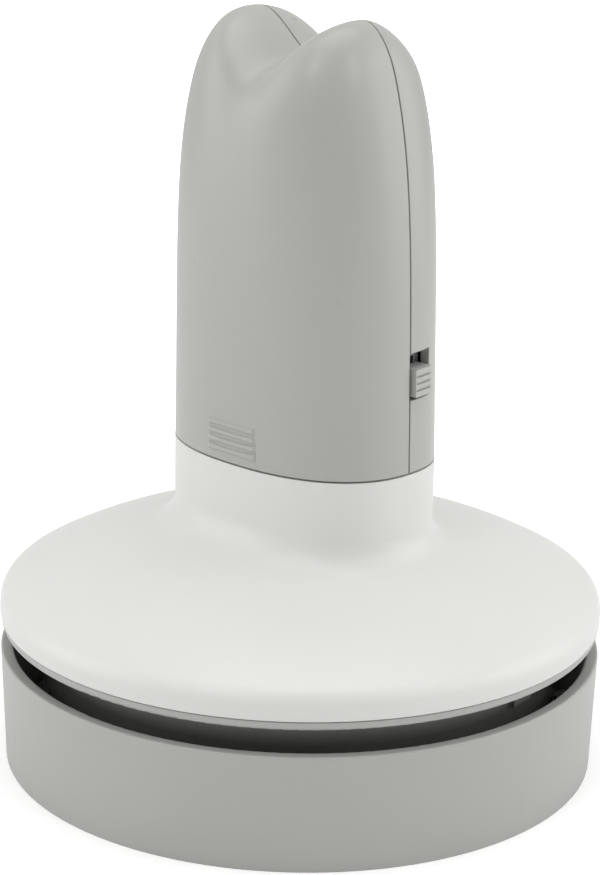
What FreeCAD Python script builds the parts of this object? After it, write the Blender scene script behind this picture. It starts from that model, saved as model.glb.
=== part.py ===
import FreeCAD, Part

import math
import os

from FreeCAD import Vector

# Small battery suction cleaner, in millimetres.
# Origin: bottom centre of the base ring, where the cleaner stands on a table.
# X is the wide axis of the handle, -Y is its front, +Z is up.

# General fits
gap = 0.3            # air between two pieces that part or move on each other
snug = 0.1           # air between two pieces that stay assembled
running = 0.05       # radial air of a shaft in its bore
weld = 0.2           # bite of one form into the next of the same moulding
past = 1.0           # how far a cutting form runs past what it cuts
tiny = 0.01          # tolerance for picking edges by their place
reach = 200.0        # longer than the whole cleaner, for cutting blocks

# Whole body
body_radius = 49.4   # rim of the base ring and of the disc

# Base ring
ring_draft = 0.6     # how much narrower the foot is than the rim
ring_height = 19.1
ring_wall = 2.0
ring_rim_round = 0.35
ledge_thickness = 1.6
ledge_width = 3.6

# Dust drum
ring_channel = 5.0   # air between the ring and the drum
drum_wall = 1.6
drum_floor = 1.6
drum_height = 20.0
key_count = 3
key_width = 5.0
key_depth = 0.9
key_height = 3.2
key_drop = 1.4       # from the drum's top edge down to the keys
key_angle = 8.0
boss_radius = 1.9
case_screw_count = 4
case_screw_start = 45.0
boss_cap = 1.9       # plastic left over the end of a screw

# Intake
mouth_length = 36.0
mouth_width = 9.0
throat_wall = 1.4
throat_air = 1.4     # from the throat's top to the filter frame
brush_width = 2.2
brush_offset = 1.6   # from the mouth's edge to the bristles
bristle_clearance = 0.3

# Screws
screw_radius = 1.0
screw_head_radius = 1.8
screw_head_height = 1.1
screw_slot = 0.5
screw_slot_depth = 0.5
screw_bite = 4.0

# Lower housing
lip_inset = 0.2
lip_thickness = 1.56
lip_round = 0.6
lip_line = 0.2       # height and half the depth of the groove under the disc
collar_depth = 9.7
collar_wall = 1.6
collar_play = 0.6    # the seal bridges this play between collar and drum
slot_count = 24
slot_inner_margin = 1.3
slot_outer_margin = 1.8
slot_rib_width = 1.5
inlet_radius = 11.0
inlet_flange = 1.2
seal_height = 1.5
seal_depth = 0.9
seal_drop = 3.6

# Filter
frame_flange = 1.2
frame_spigot = 2.6
frame_wall = 1.6
frame_spokes = 12
frame_spoke_width = 1.4
frame_hub_radius = 5.0
frame_hoop_radius = 25.0
frame_inner_hoop_radius = 13.0
filter_thickness = 3.0

# Impeller
impeller_clearance = 1.0
impeller_margin = 1.4    # from the blades' tips to the posts
blade_height = 4.3
blade_thickness = 1.1
blade_count = 9
blade_inner_radius = 9.5
blade_sweep = 38.0
blade_curl = 0.8
blade_spans = 6
backplate_thickness = 1.0
hub_radius = 3.6
hub_drop = 2.6

# Motor
motor_width = 20.1
motor_depth = 15.1
can_length = 19.6
bell_length = 5.5
bell_inset = 0.5
nose_radius = 3.0
nose_height = 1.4
shaft_radius = 1.0
shaft_length = 24.0
terminal_width = 2.2
terminal_thickness = 0.4
terminal_height = 2.6
motor_plate_margin = 3.2    # from the plate's edge to the disc's bosses
motor_plate_thickness = 1.6
motor_pocket_wall = 1.4
motor_pocket_height = 6.0
post_inset = 2.4
post_radius = 1.7
post_count = 3
post_start = 30.0

# Disc shell
disc_rim_height = 3.7
dome_mid_inset = 15.4
dome_mid_height = 10.7
dome_crown_radius = 16.0
dome_crown_height = 14.7
disc_rim_round = 3.4
disc_wall = 2.0
disc_boss_inset = 13.9
disc_boss_radius = 2.3
disc_boss_count = 4
disc_boss_start = 45.0
neck_wall = 2.0
neck_fillet = 5.0
neck_ledge = 1.2
neck_ledge_height = 1.4
neck_ledge_bite = 1.5    # of the ledge into the neck's wall

# Handle form
# Each half-size starts at the foot value, leans in a straight line and then
# rounds off towards the top with a power of the height.
handle_head = 24.2   # height of the handle beyond the length of its cells
side_room = 6.58     # from the battery tray's side to the skin at the foot
front_room = 9.36    # from the cells to the skin at the foot
rear_room = 7.85     # from the battery tray's back to the skin at the foot
width_lean = -1.8
width_round = 9.0
width_power = 4.8
front_lean = 1.5
front_round = 8.9
front_power = 5.8
rear_lean = -1.3
rear_round = 9.5
rear_power = 6.1
section_power = 2.33
section_squaring = 0.55
edge_front = 20.0    # how firmly the front side cuts into the top
edge_rear = 5.5      # the same at the rear
edge_spread = 4.0    # change from front to rear across the seam
valley_head = 13.13  # height of the valley beyond the length of the cells
valley_half_width = 6.35
valley_arch = 0.019
valley_slope = 0.5
lobe_rise = 7.17
lobe_blend = 4.1
roof_inset = 1.25    # drop of the inner roof for each millimetre of wall
ray_drop = 20.33     # from the valley to where the handle's top is measured
handle_wall = 1.6
seam = 0.3           # width of the parting gap round the handle
handle_turns = 36    # spans of the skin round half of the handle
handle_rises = 10    # spans up its sides
handle_lifts = 20    # spans over its top
oval_points = 72
halvings = 30        # steps of the search for the skin along a ray

# Chassis
chassis_depth = 7.6
chassis_rise = 6.5
chassis_wall = 1.4

# Batteries
cell_radius = 7.25
cell_length = 50.5
nub_radius = 2.75
nub_height = 1.0
cell_shoulder = 0.6
cell_web = 1.1       # between the two channels
cell_play = 0.2
spring_height = 1.6
spring_radius = 3.4
spring_tip_radius = 2.4
spring_wire = 0.5

# Battery tray
tray_floor = 1.2
tray_side = 0.9
tray_back = 1.3
tray_front_reach = 5.0
rail_toe = 1.1
rail_thickness = 1.0
rail_rise = 19.64    # from the tray's floor to the rails
rail_length = 20.0
tray_head = 4.24     # of the tray beyond the cells
shell_screw_rise = 17.64
shell_screw_drop = 8.76

# Contacts
contact_thickness = 0.3
contact_size = 9.0
contact_tail = 2.2
bridge_width = 3.2
bridge_y = 0.5

# Switch
slot_rise = 12.04    # from the neck to the slot
knob_height = 4.4
knob_width = 4.2
knob_side_play = 0.35
knob_far_play = 0.5
knob_low_play = 0.6
knob_high_play = 0.6
knob_proud = 0.8
knob_grooves = 3
knob_groove = 0.35
knob_groove_depth = 0.3
knob_groove_margin = 0.25
switch_travel = 2.0
switch_depth = 3.3
switch_length = 11.6
switch_width = 4.4
switch_leg = 1.2
switch_leg_width = 0.8

# Battery cover
thumb_ribs = 4
thumb_rib_length = 10.4
thumb_rib_foot = 1.2
thumb_rib_tip = 0.1  # height of the wedge at twice its proud depth
thumb_rib_pitch = 1.4
thumb_rib_proud = 0.3
thumb_rib_sink = 0.25
thumb_rib_draft = 1.0    # how much the ribs shorten at each end towards the tip
thumb_rise = 4.34    # from the neck to the middle of the ribs
hook_thickness = 1.0
hook_toe = 1.1
hook_play = 0.4

# Leads
lead_radius = 0.6
lead_bend = 1.6
lead_share = 0.45    # most of a run that one bend takes

os.makedirs("parts", exist_ok=True)


def save(shape, name):
    shape.exportStep("parts/" + name + ".step")
    print(name, round(shape.Volume, 1), len(shape.Solids), shape.isValid())


def rod(radius, bottom, top, x=0.0, y=0.0):
    return Part.makeCylinder(radius, top - bottom, Vector(x, y, bottom))


def tube(outer, inner, bottom, top, x=0.0, y=0.0):
    body = rod(outer, bottom, top, x, y)
    return body.cut(rod(inner, bottom - past, top + past, x, y))


def block(x0, x1, y0, y1, z0, z1):
    return Part.makeBox(x1 - x0, y1 - y0, z1 - z0, Vector(x0, y0, z0))


def rectangle(length, height, y, z):
    # Outline facing the front, with its middle at that depth and level.
    corners = [Vector(-length / 2, y, z - height / 2), Vector(length / 2, y, z - height / 2),
               Vector(length / 2, y, z + height / 2), Vector(-length / 2, y, z + height / 2)]
    return Part.makePolygon(corners + [corners[0]])


def turned(shape, degrees):
    copy = shape.copy()
    copy.rotate(Vector(0, 0, 0), Vector(0, 0, 1), degrees)
    return copy


def around(shape, count, start=0.0):
    copies = [turned(shape, start + 360.0 * i / count) for i in range(count)]
    if count == 1:
        return copies[0]
    return copies[0].multiFuse(copies[1:])


def between(side, near, far):
    # The two distances from the middle plane, in rising order on that side.
    return sorted((side * near, side * far))


def revolved(points):
    wire = Part.makePolygon(points + [points[0]])
    return Part.Face(wire).revolve(Vector(0, 0, 0), Vector(0, 0, 1), 360)


def screw(length):
    # Head below z = 0, shank above it, slot across the head.
    head = rod(screw_head_radius, -screw_head_height, 0)
    shank = rod(screw_radius, 0, length - screw_radius)
    tip = Part.makeCone(screw_radius, screw_radius / 3, screw_radius,
                        Vector(0, 0, length - screw_radius))
    slot = block(-screw_head_radius, screw_head_radius,
                 -screw_slot / 2, screw_slot / 2,
                 -screw_head_height - past, -screw_head_height + screw_slot_depth)
    return head.fuse(shank).fuse(tip).cut(slot).removeSplitter()


def placed(shape, x, y, z):
    copy = shape.copy()
    copy.translate(Vector(x, y, z))
    return copy


# Radii that follow the body
ring_foot_radius = body_radius - ring_draft
ring_bore = ring_foot_radius - ring_wall
drum_radius = body_radius - ring_wall - ring_channel
lip_radius = body_radius - lip_inset
slot_inner_radius = drum_radius + slot_inner_margin
slot_outer_radius = lip_radius - slot_outer_margin
dome_mid_radius = body_radius - dome_mid_inset
disc_boss_circle = body_radius - disc_boss_inset
motor_plate_radius = disc_boss_circle - disc_boss_radius - motor_plate_margin
post_circle = motor_plate_radius - post_inset
impeller_radius = post_circle - post_radius - impeller_margin

# Levels
ledge_bottom = screw_head_height + gap
flange_bottom = ledge_bottom + ledge_thickness
drum_floor_top = flange_bottom + drum_floor
drum_top = flange_bottom + drum_height
drum_bore = drum_radius - drum_wall
lip_bottom = drum_top + gap
housing_top = lip_bottom + lip_thickness
collar_radius = drum_bore - collar_play
collar_bore = collar_radius - collar_wall
collar_bottom = lip_bottom - collar_depth
frame_bottom = collar_bottom - frame_flange
throat_top = frame_bottom - throat_air
impeller_bottom = housing_top + impeller_clearance
backplate_bottom = impeller_bottom + blade_height
impeller_top = backplate_bottom + backplate_thickness
plate_bottom = impeller_top + impeller_clearance
plate_top = plate_bottom + motor_plate_thickness
can_top = plate_top + can_length
motor_top = can_top + bell_length
chassis_top = motor_top + gap
neck_top = chassis_top - chassis_rise
chassis_bottom = neck_top - chassis_depth
handle_foot = neck_top + seam
tray_floor_top = chassis_top + tray_floor
cell_bottom = tray_floor_top + contact_thickness + spring_height
cell_top = cell_bottom + cell_length
tray_top = cell_top + tray_head
rail_bottom = tray_floor_top + rail_rise
shell_screw_levels = (tray_floor_top + shell_screw_rise, cell_top - shell_screw_drop)
slot_bottom = neck_top + slot_rise
thumb_centre = neck_top + thumb_rise

# Widths and depths in the handle
channel_radius = cell_radius + cell_play
cell_x = channel_radius + cell_web / 2
tray_half = cell_x + channel_radius + tray_side
tray_rear = channel_radius + tray_back
handle_half_width = tray_half + side_room
handle_half_front = cell_radius + front_room
handle_half_rear = tray_rear + rear_room
handle_height = cell_length + handle_head
valley_height = cell_length + valley_head
ray_height = valley_height - ray_drop
slot_height = knob_low_play + knob_height + switch_travel + knob_high_play
slot_width = knob_side_play + knob_width + knob_far_play


# Handle form
def half_size(foot, lean, rounding, power, z):
    t = min(max((z - neck_top) / handle_height, 0.0), 1.0)
    return foot + lean * t - rounding * t ** power


def handle_level(x, y, z, inset):
    # Zero on the skin moved inwards by the inset, and negative inside it.
    width = half_size(handle_half_width, width_lean, width_round, width_power, z)
    if y < 0:
        depth = half_size(handle_half_front, front_lean, front_round, front_power, z)
    else:
        depth = half_size(handle_half_rear, rear_lean, rear_round, rear_power, z)
    width = width - inset
    depth = depth - inset
    t = min(max((z - neck_top) / handle_height, 0.0), 1.0)
    power = section_power + section_squaring * t ** 3
    ratio = (abs(x) / width) ** power + (abs(y) / depth) ** power
    rearward = (1 + math.tanh(y / edge_spread)) / 2
    edge = edge_front + (edge_rear - edge_front) * rearward
    side = (ratio ** (1 / power) - 1) * edge
    rise = lobe_rise * (1 - math.exp(-(x / valley_half_width) ** 2))
    roof = neck_top + valley_height + rise - valley_arch * y * y
    roof = roof - roof_inset * inset
    top = valley_slope * (z - roof)
    overlap = max(lobe_blend - abs(side - top), 0) / lobe_blend
    return max(side, top) + overlap * overlap * lobe_blend / 4


def skin_point(start, direction, inset):
    near = 0.0
    far = 2 * handle_height
    for _ in range(halvings):
        middle = (near + far) / 2
        p = start + direction * middle
        if handle_level(p.x, p.y, p.z, inset) < 0:
            near = middle
        else:
            far = middle
    return start + direction * near


def stations(count):
    # Pole positions of a clamped cubic spline over equal spans.
    return [0, 1 / 3] + list(range(1, count)) + [count - 1 / 3, count]


def clamped(count):
    knots = list(range(count - 2))
    return knots, [4] + [1] * (count - 4) + [4]


def handle_half(side, plane, inset, bottom):
    # Half of the handle beyond the plane y = plane, on the given side, with
    # its skin moved inwards by the inset.
    middle = neck_top + ray_height
    rows = []
    for level in stations(handle_rises + handle_lifts):
        row = []
        for step in stations(handle_turns):
            angle = side * math.pi * step / handle_turns
            if level < handle_rises:
                height = bottom + (middle - bottom) * level / handle_rises
                lift = 0.0
            else:
                height = middle
                lift = math.pi / 2 * (level - handle_rises) / handle_lifts
            ray = Vector(math.cos(angle) * math.cos(lift),
                         math.sin(angle) * math.cos(lift), math.sin(lift))
            p = skin_point(Vector(0, plane, height), ray, inset)
            if step in (0, handle_turns):
                p.y = plane
            if level == 0:
                p.z = bottom
            row.append(p)
        rows.append(row)
    crown = Vector(0, plane, rows[-1][0].z)
    rows[-1] = [crown] * len(rows[-1])
    height_knots, height_mults = clamped(len(rows))
    turn_knots, turn_mults = clamped(len(rows[0]))
    surface = Part.BSplineSurface()
    surface.buildFromPolesMultsKnots(rows, height_mults, turn_mults,
                                     height_knots, turn_knots,
                                     False, False, 3, 3)
    first = surface.vIso(turn_knots[0]).toShape()
    last = surface.vIso(turn_knots[-1]).toShape()
    foot = surface.uIso(height_knots[0]).toShape()
    line = Part.makeLine(rows[0][0], rows[0][-1])
    flat = Part.Face(Part.Wire(Part.__sortEdges__([first, last, line])))
    base = Part.Face(Part.Wire(Part.__sortEdges__([foot, line])))
    shell = Part.makeShell([surface.toShape(), flat, base])
    shell.sewShape()
    solid = Part.makeSolid(shell)
    if solid.Volume < 0:
        solid.reverse()
    return solid


def oval(inset, z):
    # Closed outline of the neck, moved inwards by the inset.
    points = []
    for i in range(oval_points):
        angle = 2 * math.pi * i / oval_points
        c = math.cos(angle)
        s = math.sin(angle)
        x = (handle_half_width - inset) * math.copysign(abs(c) ** (2 / section_power), c)
        depth = handle_half_front if s < 0 else handle_half_rear
        y = (depth - inset) * math.copysign(abs(s) ** (2 / section_power), s)
        points.append(Vector(x, y, z))
    curve = Part.BSplineCurve()
    curve.interpolate(points, True)
    return Part.Wire(curve.toShape())


def oval_block(inset, bottom, top):
    return Part.Face(oval(inset, bottom)).extrude(Vector(0, 0, top - bottom))


# Base ring
ledge_bore = ring_bore - ledge_width
case_screw_circle = ledge_bore + ledge_width / 2 - snug

base_ring = revolved([
    Vector(ring_bore, 0, 0),
    Vector(ring_foot_radius, 0, 0),
    Vector(body_radius, 0, ring_height),
    Vector(body_radius - ring_wall, 0, ring_height)])
rim_edges = [e for e in base_ring.Edges if e.BoundBox.ZMin > ring_height - tiny]
rim_round = min(ring_rim_round, 0.45 * ring_wall)
base_ring = base_ring.makeFillet(rim_round, rim_edges)
ledge = tube(ring_bore + weld, ledge_bore, ledge_bottom, flange_bottom)
base_ring = base_ring.fuse(ledge)
hole = rod(screw_radius + snug, 0, flange_bottom + past, case_screw_circle)
base_ring = base_ring.cut(around(hole, case_screw_count, case_screw_start))
base_ring = base_ring.removeSplitter()
save(base_ring, "base_ring")

# Dust drum
flange_radius = ring_bore - gap
drum = rod(flange_radius, flange_bottom, drum_floor_top)
drum = drum.fuse(rod(drum_radius, flange_bottom, drum_top))
drum = drum.cut(rod(drum_bore, drum_floor_top, drum_top + past))
pilot_top = flange_bottom + screw_bite + snug
drum_boss = rod(boss_radius, flange_bottom, pilot_top + boss_cap, case_screw_circle)
drum = drum.fuse(around(drum_boss, case_screw_count, case_screw_start))
key = block(drum_radius - drum_wall / 2, drum_radius + key_depth,
            -key_width / 2, key_width / 2,
            drum_top - key_drop - key_height, drum_top - key_drop)
drum = drum.fuse(around(key, key_count, key_angle))
throat = block(-mouth_length / 2 - throat_wall, mouth_length / 2 + throat_wall,
               -mouth_width / 2 - throat_wall, mouth_width / 2 + throat_wall,
               flange_bottom, throat_top)
drum = drum.fuse(throat)
mouth = block(-mouth_length / 2, mouth_length / 2,
              -mouth_width / 2, mouth_width / 2,
              flange_bottom - past, throat_top + past)
pilot = rod(screw_radius + running, flange_bottom - past, pilot_top, case_screw_circle)
drum = drum.cut(mouth).cut(around(pilot, case_screw_count, case_screw_start))
drum = drum.removeSplitter()
save(drum, "dust_drum")

case_screw = placed(screw(ledge_thickness + screw_bite),
                    case_screw_circle, 0, ledge_bottom)
for i in range(case_screw_count):
    save(turned(case_screw, case_screw_start + 360.0 * i / case_screw_count),
         "case_screw_%d" % (i + 1))

brush_inner = mouth_width / 2 + brush_offset
for name, side in (("brush_front", -1), ("brush_rear", 1)):
    y0, y1 = between(side, brush_inner, brush_inner + brush_width)
    save(block(-mouth_length / 2, mouth_length / 2, y0, y1,
               bristle_clearance, flange_bottom), name)

# Lower housing
housing = rod(lip_radius, lip_bottom, housing_top)
lip_edge = [e for e in housing.Edges if e.BoundBox.ZMax < lip_bottom + tiny]
housing = housing.makeFillet(lip_round, lip_edge)
housing = housing.cut(tube(lip_radius + past, lip_radius - 2 * lip_line,
                           housing_top - lip_line, housing_top + past))
housing = housing.fuse(rod(collar_radius, collar_bottom, housing_top))
housing = housing.cut(rod(collar_bore, collar_bottom - past, lip_bottom))
housing = housing.fuse(rod(inlet_radius + inlet_flange, lip_bottom - inlet_flange,
                           housing_top))
housing = housing.cut(rod(inlet_radius, collar_bottom, housing_top + past))
exhaust = tube(slot_outer_radius, slot_inner_radius,
               lip_bottom - past, housing_top + past)
rib = block(0, lip_radius, -slot_rib_width / 2, slot_rib_width / 2,
            lip_bottom - 2 * past, housing_top + 2 * past)
exhaust = exhaust.cut(around(rib, slot_count))
housing = housing.cut(exhaust)
seal_top = lip_bottom - seal_drop
groove = tube(collar_radius + past, collar_radius - seal_depth,
              seal_top - seal_height, seal_top)
housing = housing.cut(groove)
post = rod(post_radius, lip_bottom, plate_bottom, post_circle)
housing = housing.fuse(around(post, post_count, post_start))
post_pilot = rod(screw_radius + running, plate_bottom - screw_bite - snug,
                 plate_bottom + past, post_circle)
housing = housing.cut(around(post_pilot, post_count, post_start))
clear_hole = rod(screw_radius + snug, lip_bottom - past, housing_top + past,
                 disc_boss_circle)
housing = housing.cut(around(clear_hole, disc_boss_count, disc_boss_start))
save(housing.removeSplitter(), "lower_housing")

seal = tube(drum_bore - gap, collar_radius - seal_depth,
            seal_top - seal_height, seal_top)
seal_edges = [e for e in seal.Edges
              if e.BoundBox.XMax > drum_bore - gap - tiny and e.BoundBox.ZLength < tiny]
save(seal.makeFillet(seal_height / 3, seal_edges), "collar_seal")

# Filter
frame = tube(collar_radius, collar_bore - snug - frame_wall,
             frame_bottom, collar_bottom)
frame = frame.fuse(tube(collar_bore - snug, collar_bore - snug - frame_wall,
                        frame_bottom, collar_bottom + frame_spigot))
spoke = block(0, collar_bore - frame_wall, -frame_spoke_width / 2,
              frame_spoke_width / 2, frame_bottom, collar_bottom)
frame = frame.fuse(around(spoke, frame_spokes))
frame = frame.fuse(rod(frame_hub_radius, frame_bottom, collar_bottom))
for radius in (frame_inner_hoop_radius, frame_hoop_radius):
    frame = frame.fuse(tube(radius + frame_spoke_width / 2,
                            radius - frame_spoke_width / 2,
                            frame_bottom, collar_bottom))
save(frame.removeSplitter(), "filter_frame")
save(rod(collar_bore - 2 * snug - frame_wall, collar_bottom,
         collar_bottom + filter_thickness), "filter_pad")

# Impeller
impeller = rod(impeller_radius, backplate_bottom, impeller_top)
impeller = impeller.fuse(rod(hub_radius, impeller_bottom - hub_drop, impeller_top))


def blade_point(radius, offset):
    share = (radius - blade_inner_radius) / (impeller_radius - blade_inner_radius)
    angle = math.radians(blade_sweep) * share ** blade_curl
    angle += offset / radius
    return Vector(radius * math.cos(angle), radius * math.sin(angle), impeller_bottom)


blade_radii = [blade_inner_radius
               + (impeller_radius - snug - blade_inner_radius) * i / blade_spans
               for i in range(blade_spans + 1)]
outer_side = Part.BSplineCurve()
outer_side.interpolate([blade_point(r, blade_thickness / 2) for r in blade_radii])
inner_side = Part.BSplineCurve()
inner_side.interpolate([blade_point(r, -blade_thickness / 2) for r in blade_radii])
root = Part.makeLine(inner_side.StartPoint, outer_side.StartPoint)
end = Part.makeLine(inner_side.EndPoint, outer_side.EndPoint)
blade_wire = Part.Wire(Part.__sortEdges__(
    [outer_side.toShape(), inner_side.toShape(), root, end]))
blade = Part.Face(blade_wire).extrude(
    Vector(0, 0, backplate_bottom + backplate_thickness / 2 - impeller_bottom))
impeller = impeller.fuse(around(blade, blade_count))
shaft_bottom = impeller_bottom - hub_drop + snug
impeller = impeller.cut(rod(shaft_radius, shaft_bottom, impeller_top + past))
save(impeller.removeSplitter(), "impeller")

shaft_top = shaft_bottom + shaft_length
save(rod(shaft_radius, shaft_bottom, shaft_top), "motor_shaft")

# Motor
motor_bar = rod(motor_width / 2, plate_top, can_top)
flats = block(-motor_width, motor_width, -motor_depth / 2, motor_depth / 2,
              plate_top, can_top)
can = motor_bar.common(flats)
can = can.fuse(rod(nose_radius, plate_top - nose_height, plate_top))
can = can.cut(rod(shaft_radius + running, plate_top - nose_height - past,
                  shaft_top + running))
save(can.removeSplitter(), "motor_can")

bell = rod(motor_width / 2 - bell_inset, can_top, motor_top)
bell = bell.common(block(-motor_width, motor_width,
                         -motor_depth / 2 + bell_inset, motor_depth / 2 - bell_inset,
                         can_top, motor_top))
save(bell, "motor_end_bell")

terminal_x = motor_width / 2 - bell_inset
terminal_bottom = can_top + bell_inset
for name, side in (("motor_terminal_left", -1), ("motor_terminal_right", 1)):
    x0, x1 = between(side, terminal_x, terminal_x + terminal_thickness)
    save(block(x0, x1, -terminal_width / 2, terminal_width / 2,
               terminal_bottom, terminal_bottom + terminal_height), name)

plate = rod(motor_plate_radius, plate_bottom, plate_top)
pocket = block(-motor_width / 2 - snug - motor_pocket_wall,
               motor_width / 2 + snug + motor_pocket_wall,
               -motor_depth / 2 - snug - motor_pocket_wall,
               motor_depth / 2 + snug + motor_pocket_wall,
               plate_bottom, plate_top + motor_pocket_height)
room = block(-motor_width / 2 - snug, motor_width / 2 + snug,
             -motor_depth / 2 - snug, motor_depth / 2 + snug,
             plate_top, plate_top + motor_pocket_height + past)
plate = plate.fuse(pocket).cut(room)
plate = plate.cut(rod(nose_radius + snug, plate_bottom - past, plate_top + past))
plate_hole = rod(screw_radius + snug, plate_bottom - past, plate_top + past, post_circle)
plate = plate.cut(around(plate_hole, post_count, post_start))
save(plate.removeSplitter(), "motor_plate")

plate_screw = screw(motor_plate_thickness + screw_bite - snug)
plate_screw.rotate(Vector(0, 0, 0), Vector(1, 0, 0), 180)
plate_screw = placed(plate_screw, post_circle, 0, plate_top)
for i in range(post_count):
    save(turned(plate_screw, post_start + 360.0 * i / post_count),
         "plate_screw_%d" % (i + 1))

# Disc shell
def lens(inset):
    # Solid under the dome's skin, moved inwards by the inset.
    rim = body_radius - inset
    bottom = housing_top
    edge = Part.makeLine(Vector(rim, 0, bottom),
                         Vector(rim, 0, bottom + disc_rim_height - inset))
    crown = Part.Arc(
        Vector(rim, 0, bottom + disc_rim_height - inset),
        Vector(dome_mid_radius, 0, bottom + dome_mid_height - inset),
        Vector(dome_crown_radius, 0, bottom + dome_crown_height - inset)).toShape()
    cap = Part.makeLine(Vector(dome_crown_radius, 0, bottom + dome_crown_height - inset),
                        Vector(0, 0, bottom + dome_crown_height - inset))
    core = Part.makeLine(Vector(0, 0, bottom + dome_crown_height - inset),
                         Vector(0, 0, bottom))
    base = Part.makeLine(Vector(0, 0, bottom), Vector(rim, 0, bottom))
    face = Part.Face(Part.Wire([edge, crown, cap, core, base]))
    solid = face.revolve(Vector(0, 0, 0), Vector(0, 0, 1), 360)
    corner = [e for e in solid.Edges
              if abs(e.BoundBox.ZMin - (bottom + disc_rim_height - inset)) < tiny
              and e.BoundBox.ZLength < tiny and e.BoundBox.XMax > rim - tiny]
    return solid.makeFillet(disc_rim_round - inset, corner)


dome = lens(0).fuse(oval_block(0, housing_top + past, neck_top))
neck_root = [e for e in dome.Edges
             if e.BoundBox.ZMin > housing_top + dome_mid_height
             and e.BoundBox.ZMax < neck_top - tiny
             and e.BoundBox.XLength > dome_crown_radius]
dome = dome.makeFillet(neck_fillet, neck_root)
hollow = lens(disc_wall).fuse(oval_block(neck_wall, housing_top + past, neck_top + past))
ledge_top = chassis_bottom - snug
ledge_ring = oval_block(neck_ledge_bite, ledge_top - neck_ledge_height, ledge_top)
ledge_ring = ledge_ring.cut(oval_block(neck_wall + neck_ledge,
                                       ledge_top - neck_ledge_height - past,
                                       ledge_top + past))
disc = dome.cut(hollow).fuse(ledge_ring)
disc_boss = rod(disc_boss_radius, housing_top,
                housing_top + dome_mid_height - disc_wall / 2, disc_boss_circle)
disc_bosses = around(disc_boss, disc_boss_count, disc_boss_start).common(lens(disc_wall / 2))
disc = disc.fuse(disc_bosses)
disc_pilot = rod(screw_radius + running, housing_top - past,
                 housing_top + screw_bite + snug, disc_boss_circle)
disc = disc.cut(around(disc_pilot, disc_boss_count, disc_boss_start))
save(disc.removeSplitter(), "disc_shell")

disc_screw = placed(screw(lip_thickness + screw_bite), disc_boss_circle, 0, lip_bottom)
for i in range(disc_boss_count):
    save(turned(disc_screw, disc_boss_start + 360.0 * i / disc_boss_count),
         "disc_screw_%d" % (i + 1))

# Chassis
chassis = oval_block(neck_wall + snug, chassis_bottom, chassis_top)
chassis = chassis.cut(oval_block(neck_wall + snug + chassis_wall,
                                 chassis_bottom - past, chassis_top + past))
save(chassis, "neck_chassis")

# Battery tray
tray = block(-tray_half, tray_half, 0, tray_rear, chassis_top, tray_top)
tray = tray.fuse(block(-tray_half, -tray_half + 2 * tray_side, -tray_front_reach, past,
                       chassis_top, rail_bottom + rail_length))
tray = tray.fuse(block(tray_half - 2 * tray_side, tray_half, -tray_front_reach, past,
                       chassis_top, rail_bottom + rail_length))
for side in (-1, 1):
    x0, x1 = between(side, tray_half - tray_side, tray_half + rail_toe)
    tray = tray.fuse(block(x0, x1, -tray_front_reach, -tray_front_reach + rail_thickness,
                           rail_bottom, rail_bottom + rail_length))
for side in (-1, 1):
    tray = tray.cut(rod(channel_radius, tray_floor_top, cell_top + gap, side * cell_x))
    tray = tray.cut(block(side * cell_x - spring_radius - past,
                          side * cell_x + spring_radius + past,
                          -spring_radius - past, spring_radius + past,
                          cell_top, tray_top + past))
bay = block(-cell_x + spring_radius, cell_x - spring_radius, -past, channel_radius,
            cell_top - nub_height - snug, tray_top + past)
tray = tray.cut(bay)
floor = oval_block(neck_wall + snug, chassis_top, tray_floor_top)
tray = tray.fuse(floor)
tray_skin = handle_half(1, -tray_front_reach - past, handle_wall + gap,
                        chassis_top - past)
tray = tray.common(tray_skin.fuse(block(-reach, reach, -reach, 0, 0, reach)))
switch_front = seam / 2 + knob_side_play
lead_x = tray_half + switch_leg
tail_x = cell_x + contact_size / 2
switch_legs = [switch_front + switch_width / 4, switch_front + switch_width * 3 / 4]
for y in switch_legs:
    tray = tray.cut(rod(lead_radius + snug, chassis_top - past, tray_floor_top + past,
                        lead_x, y))
for side in (-1, 1):
    x0, x1 = between(side, tail_x - contact_thickness - snug, tail_x + snug)
    tray = tray.cut(block(x0, x1, -contact_tail / 2 - snug, contact_tail / 2 + snug,
                          chassis_top - past, tray_floor_top + past))
for z in shell_screw_levels:
    hole = Part.makeCylinder(screw_radius + snug, tray_rear, Vector(0, past, z),
                             Vector(0, 1, 0))
    seat = Part.makeCylinder(screw_head_radius + gap, channel_radius - past,
                             Vector(0, past, z), Vector(0, 1, 0))
    tray = tray.cut(hole).cut(seat)
save(tray.removeSplitter(), "battery_tray")

# Batteries
def cell():
    body = rod(cell_radius, 0, cell_length - nub_height)
    ends = [e for e in body.Edges if e.BoundBox.ZLength < tiny]
    body = body.makeFillet(cell_shoulder, ends)
    nub = rod(nub_radius, cell_length - nub_height - weld, cell_length)
    return body.fuse(nub)


left_cell = placed(cell(), -cell_x, 0, cell_bottom)
right_cell = cell()
right_cell.rotate(Vector(0, 0, 0), Vector(1, 0, 0), 180)
right_cell = placed(right_cell, cell_x, 0, cell_top)
save(left_cell, "battery_left")
save(right_cell, "battery_right")


def contact_spring(x, wide_end, narrow_end):
    # Cone of the spring's outer size, open inside.
    bottom, top = sorted((wide_end, narrow_end))
    low = spring_radius if wide_end < narrow_end else spring_tip_radius
    high = spring_tip_radius if wide_end < narrow_end else spring_radius
    outer = Part.makeCone(low, high, top - bottom, Vector(x, 0, bottom))
    inner = Part.makeCone(low - spring_wire, high - spring_wire, top - bottom,
                          Vector(x, 0, bottom))
    return outer.cut(inner)


contact_top = tray_floor_top + contact_thickness
tail_bottom = chassis_top - tray_floor
save(contact_spring(-cell_x, contact_top, cell_bottom), "spring_low")
bridge_high = cell_top + spring_height
save(contact_spring(cell_x, bridge_high, cell_top), "spring_high")


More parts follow.
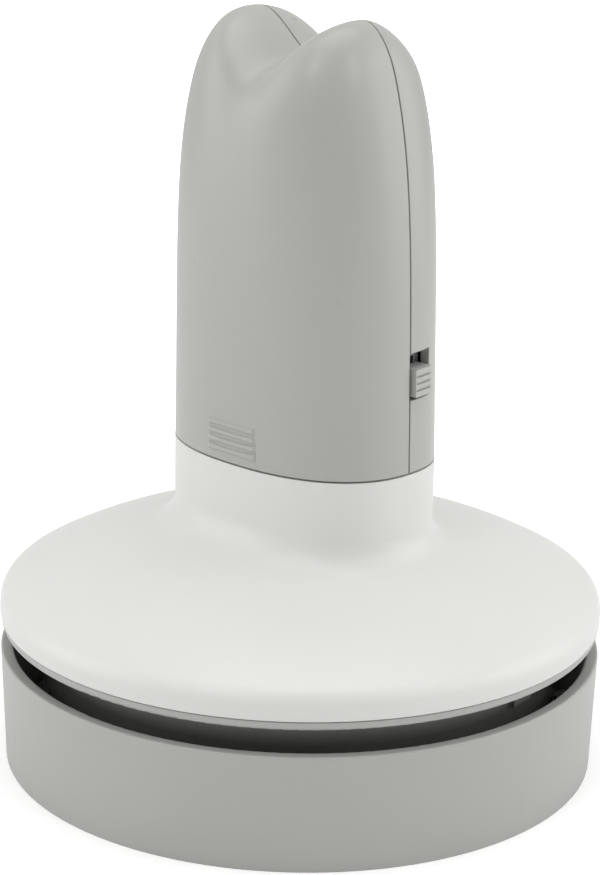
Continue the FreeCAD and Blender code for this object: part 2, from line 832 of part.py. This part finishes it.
def floor_contact(side):
    pad = block(side * cell_x - contact_size / 2, side * cell_x + contact_size / 2,
                -contact_size / 2, contact_size / 2, tray_floor_top, contact_top)
    x0, x1 = between(side, tail_x - contact_thickness, tail_x)
    tail = block(x0, x1, -contact_tail / 2, contact_tail / 2, tail_bottom, contact_top)
    return pad.fuse(tail)


save(floor_contact(-1).removeSplitter(), "contact_negative")
positive = floor_contact(1)
positive = positive.fuse(rod(nub_radius - snug, tray_floor_top, cell_bottom, cell_x))
save(positive.removeSplitter(), "contact_positive")

riser_x = cell_x - spring_radius - gap
bridge = block(-cell_x - spring_radius, riser_x, bridge_y, bridge_y + bridge_width,
               cell_top, cell_top + contact_thickness)
riser = block(riser_x - contact_thickness, riser_x, bridge_y, bridge_y + bridge_width,
              cell_top, bridge_high + contact_thickness)
shelf = block(riser_x - contact_thickness, cell_x + spring_radius,
              bridge_y, bridge_y + bridge_width,
              bridge_high, bridge_high + contact_thickness)
spring_pad = rod(spring_radius, bridge_high, bridge_high + contact_thickness, cell_x)
nub_pad = rod(nub_radius, cell_top, cell_top + contact_thickness, -cell_x)
bridge = bridge.fuse(riser).fuse(shelf).fuse(spring_pad).fuse(nub_pad)
save(bridge.removeSplitter(), "contact_bridge")

# Rear shell
rear = handle_half(1, seam / 2, 0, handle_foot)
rear_hollow = handle_half(1, -past, handle_wall, handle_foot - past)
rear = rear.cut(rear_hollow)
switch_x = tray_half + snug
knob_x = switch_x + switch_depth + snug
window = block(knob_x, reach, -past, seam / 2 + slot_width,
               slot_bottom, slot_bottom + slot_height)
rear = rear.cut(window)
rear_middle = handle_half(1, seam / 2, handle_wall / 2, handle_foot)
for z in shell_screw_levels:
    boss = Part.makeCylinder(disc_boss_radius, handle_half_rear,
                             Vector(0, tray_rear + snug, z), Vector(0, 1, 0))
    boss = boss.common(rear_middle)
    pilot = Part.makeCylinder(screw_radius + running, screw_bite - snug,
                              Vector(0, tray_rear, z), Vector(0, 1, 0))
    rear = rear.fuse(boss).cut(pilot)
save(rear.removeSplitter(), "rear_shell")

shell_screw = screw(tray_back + screw_bite - 2 * snug)
shell_screw.rotate(Vector(0, 0, 0), Vector(1, 0, 0), -90)
for i, z in enumerate(shell_screw_levels):
    save(placed(shell_screw, 0, channel_radius, z), "shell_screw_%d" % (i + 1))

# Switch
knob_bottom = slot_bottom + knob_low_play
knob_middle = knob_bottom + (knob_height + switch_travel) / 2
switch_box = block(switch_x, switch_x + switch_depth,
                   switch_front, switch_front + switch_width,
                   knob_middle - switch_length / 2, knob_middle + switch_length / 2)
stem_half = knob_width / 4
stem_room = block(switch_x + switch_depth / 2, switch_x + switch_depth + past,
                  switch_front + switch_width / 2 - stem_half - snug,
                  switch_front + switch_width / 2 + stem_half + snug,
                  knob_bottom + knob_height / 4 - gap,
                  knob_bottom + knob_height * 3 / 4 + switch_travel + gap)
switch_box = switch_box.cut(stem_room)
leg_top = knob_middle - switch_length / 2
leg_half = switch_leg_width / 2
for y in switch_legs:
    switch_box = switch_box.fuse(block(lead_x - leg_half, lead_x + leg_half,
                                       y - leg_half, y + leg_half,
                                       leg_top - switch_leg, leg_top))
save(switch_box.removeSplitter(), "switch_housing")

knob_skin = handle_half(1, seam / 2, -knob_proud, handle_foot)
knob = block(knob_x, reach, switch_front, switch_front + knob_width,
             knob_bottom, knob_bottom + knob_height).common(knob_skin)
groove_floor = handle_half(1, seam / 2, knob_groove_depth - knob_proud, handle_foot)
knob_core = knob.common(groove_floor)
for i in range(knob_grooves):
    z = knob_bottom + knob_height * (i + 1) / (knob_grooves + 1)
    knob = knob.cut(block(knob_x, reach, switch_front + knob_groove_margin,
                          slot_width + past,
                          z - knob_groove / 2, z + knob_groove / 2))
knob = knob.fuse(knob_core)
stem = block(switch_x + switch_depth / 2 + snug, knob_x + weld,
             switch_front + switch_width / 2 - stem_half,
             switch_front + switch_width / 2 + stem_half,
             knob_bottom + knob_height / 4, knob_bottom + knob_height * 3 / 4)
knob = knob.fuse(stem)
save(knob.removeSplitter(), "switch_knob")

# Battery cover
cover_hollow = handle_half(-1, past, handle_wall, handle_foot - past)
cover = handle_half(-1, -seam / 2, 0, handle_foot).cut(cover_hollow)
rib_skin = handle_half(-1, -seam / 2, -thumb_rib_proud, handle_foot)
thumb_skin = half_size(handle_half_front, front_lean, front_round, front_power,
                       thumb_centre)
bars = []
for i in range(thumb_ribs):
    z = thumb_centre + (i - (thumb_ribs - 1) / 2) * thumb_rib_pitch
    foot = rectangle(thumb_rib_length, thumb_rib_foot, thumb_rib_sink - thumb_skin, z)
    tip = rectangle(thumb_rib_length - 2 * thumb_rib_draft, thumb_rib_tip,
                    -2 * thumb_rib_proud - thumb_skin, z)
    bars.append(Part.makeLoft([foot, tip], True, True))
thumb_bars = bars[0].multiFuse(bars[1:]).common(rib_skin).cut(cover_hollow)
cover = cover.fuse(thumb_bars)
hook_front = -tray_front_reach + rail_thickness + gap
hook_x = tray_half + rail_toe + hook_play
inner_skin = handle_half(-1, -seam / 2, handle_wall / 2, handle_foot)
for side in (-1, 1):
    x0, x1 = between(side, hook_x, hook_x + hook_thickness)
    web = block(x0, x1, -reach, hook_front + hook_thickness,
                rail_bottom, rail_bottom + rail_length).common(inner_skin)
    x0, x1 = between(side, hook_x - hook_toe, hook_x + hook_thickness)
    toe = block(x0, x1, hook_front, hook_front + hook_thickness,
                rail_bottom, rail_bottom + rail_length)
    cover = cover.fuse(web).fuse(toe)
save(cover.removeSplitter(), "battery_cover")


# Leads
def lead(points):
    # Round wire along straight runs joined by tangent arcs.
    edges = []
    start = points[0]
    for i in range(1, len(points) - 1):
        before = (points[i - 1] - points[i]).normalize()
        after = (points[i + 1] - points[i]).normalize()
        half_turn = (math.pi - before.getAngle(after)) / 2
        shorter = min((points[i - 1] - points[i]).Length,
                      (points[i + 1] - points[i]).Length)
        bend = min(lead_bend, lead_share * shorter / math.tan(half_turn))
        cut = bend * math.tan(half_turn)
        a = points[i] + before * cut
        b = points[i] + after * cut
        inward = (before + after).normalize()
        centre = points[i] + inward * (bend / math.cos(half_turn))
        middle = centre - inward * bend
        edges.append(Part.LineSegment(start, a).toShape())
        edges.append(Part.Arc(a, middle, b).toShape())
        start = b
    edges.append(Part.LineSegment(start, points[-1]).toShape())
    path = Part.Wire(edges)
    direction = points[1] - points[0]
    circle = Part.Wire(Part.makeCircle(lead_radius, points[0], direction))
    solid = path.makePipeShell([circle], True, False)
    print("lead", round(path.Length, 2),
          round(solid.Volume / (math.pi * lead_radius ** 2 * path.Length), 4))
    return solid


lead_end_x = tail_x - contact_thickness / 2
terminal_z = terminal_bottom + terminal_height / 2
solder_x = terminal_x + terminal_thickness
crossing_z = terminal_z + 2 * lead_radius + gap
leg_bottom = leg_top - switch_leg
save(lead([Vector(-solder_x, 0, terminal_z),
           Vector(-lead_end_x, 0, terminal_z),
           Vector(-lead_end_x, 0, tail_bottom)]), "lead_negative")
save(lead([Vector(lead_end_x, 0, tail_bottom),
           Vector(lead_end_x, 0, crossing_z),
           Vector(lead_x, switch_legs[0], crossing_z),
           Vector(lead_x, switch_legs[0], leg_bottom)]), "lead_positive")
save(lead([Vector(lead_x, switch_legs[1], leg_bottom),
           Vector(lead_x, switch_legs[1], terminal_z),
           Vector(lead_end_x, 0, terminal_z),
           Vector(solder_x, 0, terminal_z)]), "lead_motor")
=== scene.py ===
import math
import random

import bpy
from mathutils import Matrix, Vector, noise as terrain


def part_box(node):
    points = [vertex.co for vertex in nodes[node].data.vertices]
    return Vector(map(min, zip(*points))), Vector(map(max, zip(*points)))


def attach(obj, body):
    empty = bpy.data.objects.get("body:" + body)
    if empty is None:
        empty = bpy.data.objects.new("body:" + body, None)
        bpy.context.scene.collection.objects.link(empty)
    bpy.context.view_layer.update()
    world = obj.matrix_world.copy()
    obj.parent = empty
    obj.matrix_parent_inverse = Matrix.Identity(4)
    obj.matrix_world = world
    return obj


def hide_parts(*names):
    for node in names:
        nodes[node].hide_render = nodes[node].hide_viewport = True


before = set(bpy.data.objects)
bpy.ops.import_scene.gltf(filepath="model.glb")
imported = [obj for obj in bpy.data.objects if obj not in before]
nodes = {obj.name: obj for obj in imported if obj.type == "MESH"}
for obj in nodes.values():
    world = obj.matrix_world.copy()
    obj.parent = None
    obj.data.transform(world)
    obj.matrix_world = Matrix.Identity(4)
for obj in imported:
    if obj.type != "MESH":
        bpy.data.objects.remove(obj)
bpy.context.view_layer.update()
scene = bpy.context.scene
MM = 0.001

# Noise scales of the plastics, in cycles per metre of the object
MOTTLE_SCALE = 38
SMEAR_SCALE = 70
RUB_SCALE = 160
SWELL_SCALE = 420
GRAIN_SCALE = 5200
METAL_EDGE = 0.12 * MM
DRUM_EDGE = 0.3 * MM
PAINTED_LIGHT_DEPTH = 5.2 * MM    # from the drum's top down to where its painted light ends in the full tint


# Node materials
def new_material(name):
    material = bpy.data.materials.new(name)
    material.use_nodes = True
    tree = material.node_tree
    shader = tree.nodes["Principled BSDF"]
    coords = tree.nodes.new("ShaderNodeTexCoord")
    return material, tree, shader, coords


def noise(tree, coords, scale, detail=2.0, rough=0.5, stretch=None):
    node = tree.nodes.new("ShaderNodeTexNoise")
    node.inputs["Scale"].default_value = scale
    node.inputs["Detail"].default_value = detail
    node.inputs["Roughness"].default_value = rough
    source = coords.outputs["Object"]
    if stretch:
        mapping = tree.nodes.new("ShaderNodeMapping")
        mapping.inputs["Scale"].default_value = stretch
        tree.links.new(source, mapping.inputs["Vector"])
        source = mapping.outputs["Vector"]
    tree.links.new(source, node.inputs["Vector"])
    return node.outputs["Fac"]


def ramp(tree, value, low, high, start=0.3, end=0.7):
    node = tree.nodes.new("ShaderNodeMapRange")
    node.inputs["From Min"].default_value = start
    node.inputs["From Max"].default_value = end
    node.inputs["To Min"].default_value = low
    node.inputs["To Max"].default_value = high
    tree.links.new(value, node.inputs["Value"])
    return node.outputs["Result"]


def times(tree, a, b):
    node = tree.nodes.new("ShaderNodeMath")
    node.operation = "MULTIPLY"
    tree.links.new(a, node.inputs[0])
    tree.links.new(b, node.inputs[1])
    return node.outputs["Value"]


def mix_colour(tree, factor, a, b):
    # Each of a and b is a colour or another node's output.
    node = tree.nodes.new("ShaderNodeMix")
    node.data_type = "RGBA"
    tree.links.new(factor, node.inputs["Factor"])
    for name, colour in (("A", a), ("B", b)):
        if isinstance(colour, tuple):
            node.inputs[name].default_value = (*colour, 1)
        else:
            tree.links.new(colour, node.inputs[name])
    return node.outputs["Result"]


def bump(tree, height, strength, distance, under=None):
    node = tree.nodes.new("ShaderNodeBump")
    node.inputs["Strength"].default_value = strength
    node.inputs["Distance"].default_value = distance
    tree.links.new(height, node.inputs["Height"])
    if under:
        tree.links.new(under, node.inputs["Normal"])
    return node.outputs["Normal"]


def edges(tree, radius):
    # The normal of a slightly rounded edge, and how near an edge a point lies.
    rounded = tree.nodes.new("ShaderNodeBevel")
    rounded.samples = 6
    rounded.inputs["Radius"].default_value = radius
    geometry = tree.nodes.new("ShaderNodeNewGeometry")
    dot = tree.nodes.new("ShaderNodeVectorMath")
    dot.operation = "DOT_PRODUCT"
    tree.links.new(rounded.outputs["Normal"], dot.inputs[0])
    tree.links.new(geometry.outputs["Normal"], dot.inputs[1])
    nearness = ramp(tree, dot.outputs["Value"], 1, 0, 0.75, 0.97)
    return rounded.outputs["Normal"], nearness


def moulded(name, colour, roughness=0.45, grain=GRAIN_SCALE, grain_depth=0.03 * MM,
            mottle=0.02, wear=0.10, edge=0.25 * MM, subsurface=0.0):
    # Satin moulded plastic: spark-eroded grain, faint mottling of the colour,
    # soft edges that are rubbed a little lighter and smoother.
    material, tree, shader, coords = new_material(name)
    broad = noise(tree, coords, MOTTLE_SCALE, 3)
    lighter = tuple(min(1, c * (1 + mottle)) for c in colour)
    darker = tuple(c * (1 - mottle) for c in colour)
    rubbed = tuple(min(1, c * (1 + wear) + wear * 0.02) for c in colour)
    soft_edge, nearness = edges(tree, edge)
    patches = noise(tree, coords, RUB_SCALE, 2)
    worn = times(tree, nearness, ramp(tree, patches, 0.2, 1, 0.35, 0.6))
    body = mix_colour(tree, broad, darker, lighter)
    tree.links.new(mix_colour(tree, worn, body, rubbed), shader.inputs["Base Color"])
    smears = noise(tree, coords, SMEAR_SCALE, 3, 0.6, (1, 1, 0.5))
    tree.links.new(ramp(tree, smears, roughness - 0.06, roughness + 0.06, 0.1, 0.9),
                   shader.inputs["Roughness"])
    swell = noise(tree, coords, SWELL_SCALE, 2)
    fine = noise(tree, coords, grain, 2)
    normal = bump(tree, swell, 0.04, 0.1 * MM, soft_edge)
    tree.links.new(bump(tree, fine, 0.35, grain_depth, normal), shader.inputs["Normal"])
    shader.inputs["IOR"].default_value = 1.5
    if subsurface:
        shader.inputs["Subsurface Weight"].default_value = subsurface
        shader.inputs["Subsurface Radius"].default_value = (1.2 * MM, 1.1 * MM, 0.9 * MM)
        shader.inputs["Subsurface Scale"].default_value = 1.0
    return material


def metal(name, colour, roughness=0.3, stretch=(1, 1, 14), scale=900):
    # Drawn or turned metal with fine streaks and brighter, rubbed edges.
    material, tree, shader, coords = new_material(name)
    streaks = noise(tree, coords, scale, 3, stretch=stretch)
    darker = tuple(c * 0.86 for c in colour)
    rubbed = tuple(min(1, c * 1.15) for c in colour)
    soft_edge, nearness = edges(tree, METAL_EDGE)
    body = mix_colour(tree, streaks, darker, colour)
    tree.links.new(mix_colour(tree, nearness, body, rubbed), shader.inputs["Base Color"])
    tree.links.new(ramp(tree, streaks, roughness - 0.07, roughness + 0.07),
                   shader.inputs["Roughness"])
    tree.links.new(bump(tree, streaks, 0.2, 0.02 * MM, soft_edge), shader.inputs["Normal"])
    shader.inputs["Metallic"].default_value = 1.0
    return material


def felt(name, colour):
    # Pressed fibres with loose tangles and a fuzzy sheen.
    material, tree, shader, coords = new_material(name)
    fibres = noise(tree, coords, 900, 6, 0.7, (1, 1, 0.3))
    tangles = noise(tree, coords, 190, 4, 0.65)
    darker = tuple(c * 0.72 for c in colour)
    tree.links.new(mix_colour(tree, ramp(tree, fibres, 0, 1, 0.35, 0.62), darker, colour),
                   shader.inputs["Base Color"])
    normal = bump(tree, tangles, 0.6, 0.4 * MM)
    tree.links.new(bump(tree, fibres, 0.8, 0.2 * MM, normal), shader.inputs["Normal"])
    shader.inputs["Roughness"].default_value = 0.95
    shader.inputs["Sheen Weight"].default_value = 0.35
    return material


def smoke(name):
    # Glossy smoke-tinted plastic. Near the drum's top edge its colour is painted light
    # grey, a painted reflection of the lit gap under the lip, and it fades down into the
    # plain smoke tint.
    material, tree, shader, coords = new_material(name)
    flow = noise(tree, coords, 60, 2, stretch=(1, 1, 3))
    soft_edge, nearness = edges(tree, DRUM_EDGE)
    place = tree.nodes.new("ShaderNodeSeparateXYZ")
    tree.links.new(coords.outputs["Object"], place.inputs["Vector"])
    low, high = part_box("dust_drum")
    # Painted light: the drum's top band is painted pale grey and darkens downwards into
    # the smoke tint.
    painted_light_fade = ramp(tree, place.outputs["Z"], 0, 1, high[2] - PAINTED_LIGHT_DEPTH, high[2])
    tint = mix_colour(tree, flow, (0.130, 0.130, 0.121), (0.160, 0.160, 0.150))
    tint_and_painted_light = mix_colour(tree, painted_light_fade, tint, (0.56, 0.57, 0.54))
    tree.links.new(mix_colour(tree, nearness, tint_and_painted_light, (0.30, 0.30, 0.28)),
                   shader.inputs["Base Color"])
    specks = noise(tree, coords, 2600, 2)
    tree.links.new(ramp(tree, specks, 0.05, 0.12, 0.4, 0.75), shader.inputs["Roughness"])
    tree.links.new(bump(tree, flow, 0.04, 0.2 * MM, soft_edge), shader.inputs["Normal"])
    shader.inputs["IOR"].default_value = 1.58
    shader.inputs["Coat Weight"].default_value = 1.0
    shader.inputs["Coat Roughness"].default_value = 0.04
    return material


def rubber(name, colour, roughness=0.6):
    return moulded(name, colour, roughness, 2600, 0.05 * MM, 0.08, 0.3)


HANDLE = (0.440, 0.444, 0.416)
WHITE = (0.750, 0.755, 0.725)
RING = (0.440, 0.442, 0.420)
LIP = (0.440, 0.444, 0.420)

handle_grey = moulded("handle_grey", HANDLE, 0.30)
shell_white = moulded("shell_white", WHITE, 0.36, wear=0.04, subsurface=0.08)
ring_grey = moulded("ring_grey", RING, 0.38)
housing_grey = moulded("housing_grey", LIP, 0.36)
knob_grey = moulded("knob_grey", (0.46, 0.465, 0.44), 0.38)
frame_black = moulded("frame_black", (0.018, 0.018, 0.018), 0.45)
fan_plastic = moulded("fan_plastic", (0.60, 0.60, 0.55), 0.35, subsurface=0.1)
inner_abs = moulded("inner_abs", (0.62, 0.62, 0.58), 0.5)
bell_plastic = moulded("bell_plastic", (0.72, 0.72, 0.66), 0.35)
sleeve = moulded("cell_sleeve", (0.055, 0.062, 0.075), 0.22, 1200, 0.01 * MM)
smoke_dark = smoke("smoke_dark")
steel = metal("steel", (0.58, 0.58, 0.57), 0.28)
nickel = metal("nickel", (0.72, 0.71, 0.68), 0.2)
brass = metal("tinned_brass", (0.72, 0.60, 0.34), 0.3)
seal_rubber = rubber("seal_rubber", (0.02, 0.02, 0.02))
red_wire = rubber("red_wire", (0.42, 0.02, 0.015), 0.4)
black_wire = rubber("black_wire", (0.015, 0.015, 0.015), 0.4)
white_wire = rubber("white_wire", (0.62, 0.62, 0.60), 0.4)
filter_felt = felt("filter_felt", (0.80, 0.80, 0.76))
nylon = moulded("nylon_bristle", (0.02, 0.02, 0.02), 0.4, 900, 0.01 * MM)

FINISH = {
    "battery_cover": handle_grey, "rear_shell": handle_grey,
    "disc_shell": shell_white, "base_ring": ring_grey,
    "lower_housing": housing_grey, "dust_drum": smoke_dark,
    "switch_knob": knob_grey, "filter_frame": frame_black,
    "filter_pad": filter_felt, "collar_seal": seal_rubber,
    "impeller": fan_plastic, "motor_end_bell": bell_plastic,
    "motor_terminal_left": brass, "motor_terminal_right": brass,
    "motor_plate": inner_abs, "neck_chassis": inner_abs, "battery_tray": inner_abs,
    "battery_left": sleeve, "battery_right": sleeve,
    "spring_low": nickel, "spring_high": nickel, "contact_negative": nickel,
    "contact_positive": nickel, "contact_bridge": nickel,
    "lead_negative": black_wire, "lead_positive": red_wire, "lead_motor": white_wire,
    "brush_front": nylon, "brush_rear": nylon,
}
for name, node in nodes.items():
    for slot in node.material_slots:
        slot.material = FINISH.get(name, steel)


# Pieces that stand for the plain solids of the brushes, springs and filter pad
def middle_of(low, high):
    return [(low[i] + high[i]) / 2 for i in range(3)]


def add_piece(name, points, faces, body, node, material):
    mesh = bpy.data.meshes.new(name)
    mesh.from_pydata(points, [], faces)
    mesh.materials.append(material)
    for face in mesh.polygons:
        face.use_smooth = True
    piece = bpy.data.objects.new(name, mesh)
    scene.collection.objects.link(piece)
    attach(piece, body)
    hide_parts(node)
    return piece


def add_bristles(name, node):
    # Rows of tapered bristles, each leaning a little its own way, under a thin strip.
    low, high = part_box(node)
    chance = random.Random(7)
    bristle = 0.16 * MM
    strip = 0.4 * MM
    across = 7
    along = 104
    points = []
    faces = []

    def prism(corners_low, corners_high):
        start = len(points)
        points.extend(corners_low + corners_high)
        faces.append([start + 3, start + 2, start + 1, start])
        faces.append([start + 4, start + 5, start + 6, start + 7])
        for i in range(4):
            j = (i + 1) % 4
            faces.append([start + i, start + j, start + 4 + j, start + 4 + i])

    def square(x, y, z, half_x, half_y):
        return [(x - half_x, y - half_y, z), (x + half_x, y - half_y, z),
                (x + half_x, y + half_y, z), (x - half_x, y + half_y, z)]

    centre = middle_of(low, high)
    half_x = (high[0] - low[0]) / 2
    half_y = (high[1] - low[1]) / 2
    prism(square(centre[0], centre[1], high[2] - strip, half_x, half_y),
          square(centre[0], centre[1], high[2], half_x, half_y))
    margin = 2 * bristle
    for i in range(along):
        for j in range(across):
            x = low[0] + margin + (2 * half_x - 2 * margin) * i / (along - 1)
            y = low[1] + margin + (2 * half_y - 2 * margin) * j / (across - 1)
            lean_x = chance.uniform(-0.5, 0.5) * margin
            lean_y = chance.uniform(-0.5, 0.5) * margin
            tip = low[2] + chance.uniform(0, 0.3) * MM
            prism(square(x + lean_x, y + lean_y, tip, 0.3 * bristle, 0.3 * bristle),
                  square(x, y, high[2] - strip, 0.5 * bristle, 0.5 * bristle))
    return add_piece(name, points, faces, "dust_case", node, nylon)


def add_coil(name, node, wide_low):
    # A conical compression spring of round wire with flat end turns.
    low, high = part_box(node)
    x, y, _ = middle_of(low, high)
    wire = 0.25 * MM
    wide = (high[0] - low[0]) / 2 - wire
    narrow = wide - 1.0 * MM
    turns = 3
    steps = 40
    sides = 10
    points = []
    faces = []
    count = turns * steps
    for i in range(count + 1):
        share = i / count
        rise = (1 - math.cos(math.pi * share)) / 2
        radius = wide + (narrow - wide) * (share if wide_low else 1 - share)
        turn = 2 * math.pi * i / steps
        z = low[2] + wire + (high[2] - low[2] - 2 * wire) * rise
        for j in range(sides):
            a = 2 * math.pi * j / sides
            r = radius + wire * math.cos(a)
            points.append((x + r * math.cos(turn), y + r * math.sin(turn),
                           z + wire * math.sin(a)))
    for i in range(count):
        for j in range(sides):
            k = (j + 1) % sides
            a = i * sides
            b = a + sides
            faces.append([a + j, b + j, b + k, a + k])
    faces.append(list(range(sides)))
    faces.append(list(range(count * sides, count * sides + sides))[::-1])
    return add_piece(name, points, faces, "head", node, nickel)


def add_pad(name, node):
    # A felt disc with soft rounded rims and an uneven, slightly crowned face.
    low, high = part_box(node)
    x, y, middle = middle_of(low, high)
    radius = (high[0] - low[0]) / 2
    half = (high[2] - low[2]) / 2
    rings = 26
    turns = 120
    round_off = 1.0 * MM
    points = []
    faces = []
    for side in (1, -1):
        for i in range(rings + 1):
            r = radius * i / rings
            beyond = max(0.0, r - (radius - round_off)) / round_off
            for j in range(turns):
                a = 2 * math.pi * j / turns
                px = x + r * math.cos(a)
                py = y + r * math.sin(a)
                wave = 0.5 + 0.5 * terrain.noise(Vector((px, py, side * 0.01)) * 260)
                height = half * (0.86 + 0.13 * wave) * math.sqrt(max(0.0, 1 - beyond ** 2))
                points.append((px, py, middle + side * height))
    for layer in range(2):
        base = layer * (rings + 1) * turns
        for i in range(rings):
            for j in range(turns):
                k = (j + 1) % turns
                a = base + i * turns
                b = a + turns
                face = [a + j, b + j, b + k, a + k]
                faces.append(face if layer == 0 else face[::-1])
    pad = add_piece(name, points, faces, "head", node, filter_felt)
    weld = pad.modifiers.new("weld", "WELD")
    weld.merge_threshold = 0.01 * MM
    return pad


add_bristles("bristles_front", "brush_front")
add_bristles("bristles_rear", "brush_rear")
add_coil("coil_low", "spring_low", True)
add_coil("coil_high", "spring_high", False)
add_pad("felt_pad", "filter_pad")

# Camera, as fitted to the photo
EYE = Vector((0.28138, -0.29867, 0.18128))
AHEAD = Vector((-0.65572, 0.69412, -0.29703))
RIGHT = Vector((0.72292, 0.69069, 0.01814))
UP = Vector((-0.21775, 0.20284, 0.95469))
flat_ahead = Vector((AHEAD.x, AHEAD.y, 0)).normalized()
flat_right = Vector((flat_ahead.y, -flat_ahead.x, 0))

camera_data = bpy.data.cameras.new("camera")
PHOTO_HEIGHT = 875
FOCAL_PIXELS = 2642.9
camera_data.sensor_width = 36.0
camera_data.lens = FOCAL_PIXELS / PHOTO_HEIGHT * camera_data.sensor_width
camera_data.clip_end = 20
camera = bpy.data.objects.new("camera", camera_data)
back = -AHEAD
camera.matrix_world = Matrix((
    (RIGHT.x, UP.x, back.x, EYE.x),
    (RIGHT.y, UP.y, back.y, EYE.y),
    (RIGHT.z, UP.z, back.z, EYE.z),
    (0, 0, 0, 1)))
scene.collection.objects.link(camera)
scene.camera = camera
scene.view_settings.view_transform = "Standard"

# Floor: plain white, and beyond the object's shadow as bright as the backdrop
FLOOR_HALF = 6.0
NEAR_GLOW = 0.25
FAR_GLOW = 1.0
GLOW_START = 0.09
GLOW_END = 0.30
floor_mesh = bpy.data.meshes.new("floor")
floor_mesh.from_pydata([(-FLOOR_HALF, -FLOOR_HALF, 0), (FLOOR_HALF, -FLOOR_HALF, 0),
                        (FLOOR_HALF, FLOOR_HALF, 0), (-FLOOR_HALF, FLOOR_HALF, 0)],
                       [], [(0, 1, 2, 3)])
floor = bpy.data.objects.new("floor", floor_mesh)
scene.collection.objects.link(floor)
floor_paint, tree, shader, coords = new_material("floor_paint")
shader.inputs["Roughness"].default_value = 0.9
shader.inputs["Specular IOR Level"].default_value = 0.1
shader.inputs["Base Color"].default_value = (0.93, 0.93, 0.93, 1)
distance = tree.nodes.new("ShaderNodeVectorMath")
distance.operation = "LENGTH"
tree.links.new(coords.outputs["Object"], distance.inputs[0])
glow = ramp(tree, distance.outputs["Value"], NEAR_GLOW, FAR_GLOW, GLOW_START, GLOW_END)
path = tree.nodes.new("ShaderNodeLightPath")
tree.links.new(times(tree, path.outputs["Is Camera Ray"], glow),
               shader.inputs["Emission Strength"])
shader.inputs["Emission Color"].default_value = (1, 1, 1, 1)
floor_mesh.materials.append(floor_paint)

# World: a white tent, dimmer on the camera's side, white where the camera sees it
TENT_LEVEL = 0.58
TENT_FRONT = 0.37
world = bpy.data.worlds.new("studio")
scene.world = world
world.use_nodes = True
tree = world.node_tree
background = tree.nodes["Background"]
coords = tree.nodes.new("ShaderNodeTexCoord")
facing = tree.nodes.new("ShaderNodeVectorMath")
facing.operation = "DOT_PRODUCT"
tree.links.new(coords.outputs["Generated"], facing.inputs[0])
facing.inputs[1].default_value = -flat_ahead
tent = ramp(tree, facing.outputs["Value"], TENT_LEVEL, TENT_FRONT, 0.35, 0.95)
path = tree.nodes.new("ShaderNodeLightPath")
level = tree.nodes.new("ShaderNodeMix")
tree.links.new(path.outputs["Is Camera Ray"], level.inputs["Factor"])
tree.links.new(tent, level.inputs["A"])
level.inputs["B"].default_value = 1.0
tree.links.new(level.outputs["Result"], background.inputs["Strength"])
background.inputs["Color"].default_value = (1, 1, 1, 1)


# Soft lamps
def softbox(name, place, size, power, target=(0, 0, 0.05)):
    light = bpy.data.lights.new(name, "AREA")
    light.shape = "RECTANGLE"
    light.size, light.size_y = size
    light.energy = power
    lamp = bpy.data.objects.new(name, light)
    lamp.location = place
    aim = Vector(target) - Vector(place)
    lamp.rotation_euler = aim.to_track_quat("-Z", "Y").to_euler()
    scene.collection.objects.link(lamp)


def seen_from(side, away, height):
    # A place given across, away from and above as the camera sees it.
    return tuple(flat_right * side + flat_ahead * away + Vector((0, 0, height)))


softbox("box_left", seen_from(-0.62, -0.02, 0.22), (0.50, 0.55), 1.1)
softbox("box_right", seen_from(0.62, 0.02, 0.22), (0.50, 0.55), 1.3)
softbox("box_top", seen_from(0.0, 0.0, 0.75), (0.6, 0.6), 1.9)
softbox("box_front_left", seen_from(-0.30, -0.45, 0.62), (0.16, 0.24), 0.50)
softbox("box_front_right", seen_from(0.42, -0.40, 0.50), (0.14, 0.24), 0.32)

bpy.context.view_layer.update()
